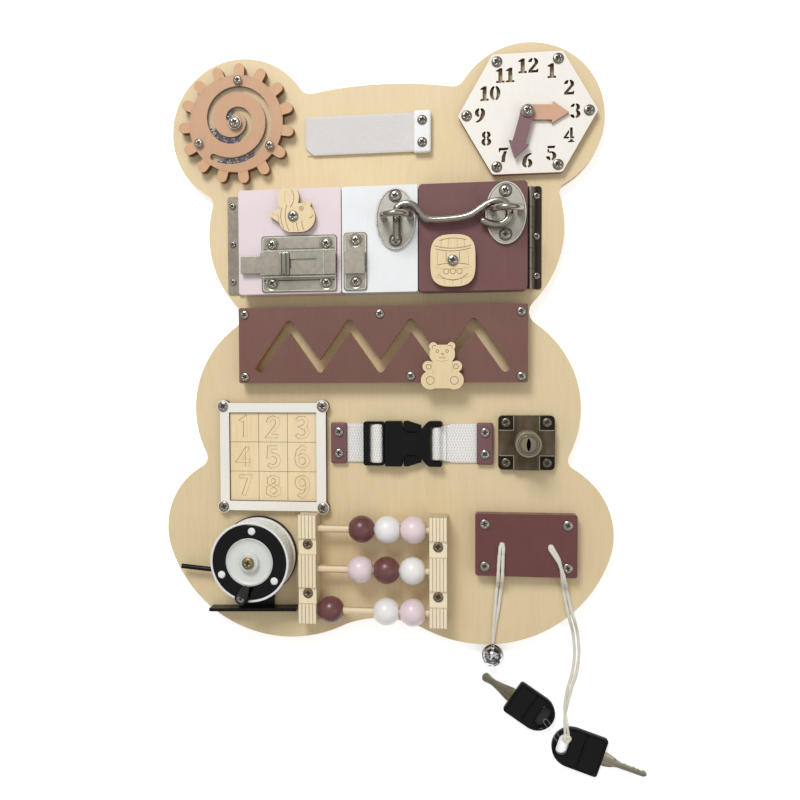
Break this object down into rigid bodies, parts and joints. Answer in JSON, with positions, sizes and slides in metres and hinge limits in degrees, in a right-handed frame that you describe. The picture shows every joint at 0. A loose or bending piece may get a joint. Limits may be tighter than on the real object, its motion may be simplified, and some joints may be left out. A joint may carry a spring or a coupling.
{
  "type": "wooden busy board",
  "caption": "Bear-shaped plywood play board with a bead gear, clock, latched doors, maze, number tiles, buckle, lock, reel, bead frame and pull cords.",
  "frame": {"origin": "middle of the board's flat back, at the bottom centre of the bounding box without the cords, the bell and the keys", "axes": "+Z out of the board's front, +Y towards the ears, +X to the right of somebody who looks at the front"},
  "size_m": [0.3677, 0.5446, 0.0564],
  "materials": {
    "plywood": "birch plywood, clear satin lacquer",
    "screw_steel": "nickel plated",
    "mauve_paint": "mauve paint",
    "pink_paint": "pale pink paint",
    "tan_paint": "tan paint, dark laser-cut edges",
    "clear_acrylic": "clear acrylic",
    "blue_glass": "blue and clear glass beads",
    "hinge_steel": "nickel plated steel",
    "dark_nickel": "black nickel",
    "lilac_fabric": "woven nylon",
    "ivory_fabric": "looped nylon",
    "black_plastic": "moulded plastic",
    "white_plastic": "moulded plastic",
    "pine": "bare pine",
    "cream_cord": "twisted cotton cord",
    "white_wood": "white paint"
  },
  "bodies": {
    "board": {"base_board": "plywood", "board_screws": "screw_steel", "clock_dial": "white_wood", "strap_clamp": "white_wood", "strap_base": "ivory_fabric", "door_block": "white_wood", "hinge_leaves_fixed": "hinge_steel", "bolt_keeper": "hinge_steel", "hook_eye_left": "hinge_steel", "maze_panel": "mauve_paint", "number_frame": "white_wood", "number_tiles": "plywood", "webbing_clamps": "mauve_paint", "webbing_left": "lilac_fabric", "webbing_right": "lilac_fabric", "buckle_male": "black_plastic", "lock_case": "dark_nickel", "reel_frame": "black_plastic", "bead_posts": "pine", "bead_rods": "pine", "cord_plate": "mauve_paint", "bell_cord": "cream_cord", "key_cord": "cream_cord", "bell": "screw_steel", "keys": "black_plastic"},
    "bead_gear": {"gear_plate": "tan_paint", "gear_back": "plywood", "gear_cover": "clear_acrylic", "gear_seeds": "blue_glass", "gear_screws": "screw_steel"},
    "hour_hand": {"hour_hand": "tan_paint"},
    "minute_hand": {"minute_hand": "mauve_paint"},
    "strap_flap": {"strap_flap": "lilac_fabric"},
    "left_door": {"left_door": "pink_paint", "left_hinge_leaf": "hinge_steel", "bolt_guide": "hinge_steel", "left_door_screws": "screw_steel"},
    "bolt_bar": {"bolt_bar": "hinge_steel"},
    "bee_piece": {"bee_piece": "plywood"},
    "right_door": {"right_door": "mauve_paint", "right_hinge_leaf": "hinge_steel", "hook_eye_right": "hinge_steel", "right_door_screws": "screw_steel"},
    "honey_barrel": {"honey_barrel": "plywood"},
    "cabin_hook": {"hook_rod": "hinge_steel"},
    "maze_bear": {"maze_bear": "plywood"},
    "buckle_female": {"buckle_female": "black_plastic"},
    "lock_plug": {"lock_plug": "hinge_steel"},
    "lock_bolt": {"lock_bolt": "hinge_steel"},
    "reel_spool": {"reel_spool": "white_plastic"},
    "reel_knob": {"reel_knob": "black_plastic"},
    "bead_1_left": {"bead_1_left": "mauve_paint"},
    "bead_1_middle": {"bead_1_middle": "white_wood"},
    "bead_1_right": {"bead_1_right": "pink_paint"},
    "bead_2_left": {"bead_2_left": "pink_paint"},
    "bead_2_middle": {"bead_2_middle": "mauve_paint"},
    "bead_2_right": {"bead_2_right": "white_wood"},
    "bead_3_left": {"bead_3_left": "mauve_paint"},
    "bead_3_middle": {"bead_3_middle": "white_wood"},
    "bead_3_right": {"bead_3_right": "pink_paint"}
  },
  "joints": [
    {"name": "gear_spin", "type": "hinge", "parent": "board", "child": "bead_gear", "pos_m": [-0.11, 0.1718, 0.02], "axis": [0, 0, 1], "continuous": true},
    {"name": "hour_hand_spin", "type": "hinge", "parent": "board", "child": "hour_hand", "pos_m": [0.1074, 0.1699, 0.018], "axis": [0, 0, 1], "continuous": true},
    {"name": "minute_hand_spin", "type": "hinge", "parent": "board", "child": "minute_hand", "pos_m": [0.1074, 0.1699, 0.021], "axis": [0, 0, 1], "continuous": true},
    {"name": "strap_flap_lift", "type": "hinge", "parent": "board", "child": "strap_flap", "pos_m": [0.0233, 0.1609, 0.0126], "axis": [0, 1, 0], "range_deg": [0, 95]},
    {"name": "left_door_hinge", "type": "hinge", "parent": "board", "child": "left_door", "pos_m": [-0.1086, 0.0805, 0.012], "axis": [0, -1, 0], "range_deg": [0, 95]},
    {"name": "bolt_slide", "type": "slide", "parent": "left_door", "child": "bolt_bar", "axis": [1, 0, 0], "range_m": [0, 0.02]},
    {"name": "bee_spin", "type": "hinge", "parent": "left_door", "child": "bee_piece", "pos_m": [-0.0628, 0.098, 0.0315], "axis": [0, 0, 1], "continuous": true},
    {"name": "right_door_hinge", "type": "hinge", "parent": "board", "child": "right_door", "pos_m": [0.1098, 0.0805, 0.012], "axis": [0, 1, 0], "range_deg": [0, 58]},
    {"name": "honey_barrel_spin", "type": "hinge", "parent": "right_door", "child": "honey_barrel", "pos_m": [0.0542, 0.0627, 0.0315], "axis": [0, 0, 1], "continuous": true},
    {"name": "hook_swing", "type": "hinge", "parent": "right_door", "child": "cabin_hook", "pos_m": [0.0828, 0.0964, 0.0348], "axis": [0, 0, -1], "range_deg": [0, 104.4]},
    {"name": "maze_bear_slide", "type": "slide", "parent": "board", "child": "maze_bear", "axis": [0.5765, 0.8171, 0], "range_m": [0, 0.0395]},
    {"name": "buckle_pull", "type": "slide", "parent": "board", "child": "buckle_female", "axis": [1, 0, 0], "range_m": [0, 0.022], "deforming": ["webbing_right", "buckle_male"]},
    {"name": "lock_turn", "type": "hinge", "parent": "board", "child": "lock_plug", "pos_m": [0.1077, -0.0693, 0.03], "axis": [0, 0, 1], "range_deg": [0, 180]},
    {"name": "lock_bolt_slide", "type": "slide", "parent": "board", "child": "lock_bolt", "axis": [0, 1, 0], "range_m": [0, 0.008]},
    {"name": "reel_spin", "type": "hinge", "parent": "board", "child": "reel_spool", "pos_m": [-0.0962, -0.1582, 0.02], "axis": [0, 0, 1], "continuous": true},
    {"name": "reel_knob_spin", "type": "hinge", "parent": "reel_spool", "child": "reel_knob", "pos_m": [-0.10128, -0.18431, 0.03], "axis": [0, 0, 1], "continuous": true},
    {"name": "bead_1_right_slide", "type": "slide", "parent": "board", "child": "bead_1_right", "axis": [1, 0, 0], "range_m": [-0.008, 0.002]},
    {"name": "bead_1_middle_slide", "type": "slide", "parent": "bead_1_right", "child": "bead_1_middle", "axis": [1, 0, 0], "range_m": [-0.008, 0]},
    {"name": "bead_1_left_slide", "type": "slide", "parent": "bead_1_middle", "child": "bead_1_left", "axis": [1, 0, 0], "range_m": [-0.0068, 0]},
    {"name": "bead_2_right_slide", "type": "slide", "parent": "board", "child": "bead_2_right", "axis": [1, 0, 0], "range_m": [-0.008, 0.0028]},
    {"name": "bead_2_middle_slide", "type": "slide", "parent": "bead_2_right", "child": "bead_2_middle", "axis": [1, 0, 0], "range_m": [-0.008, 0]},
    {"name": "bead_2_left_slide", "type": "slide", "parent": "bead_2_middle", "child": "bead_2_left", "axis": [1, 0, 0], "range_m": [-0.0062, 0]},
    {"name": "bead_3_left_slide", "type": "slide", "parent": "board", "child": "bead_3_left", "axis": [1, 0, 0], "range_m": [0, 0.011]},
    {"name": "bead_3_right_slide", "type": "slide", "parent": "board", "child": "bead_3_right", "axis": [1, 0, 0], "range_m": [-0.0056, 0.0026]},
    {"name": "bead_3_middle_slide", "type": "slide", "parent": "bead_3_right", "child": "bead_3_middle", "axis": [1, 0, 0], "range_m": [-0.0056, 0]}
  ],
  "couplings": [
    {"joint": "hook_swing", "follows": "right_door_hinge", "ratio": 1.8},
    {"joint": "lock_bolt_slide", "follows": "lock_turn", "m_per_rad": 0.002546}
  ]
}
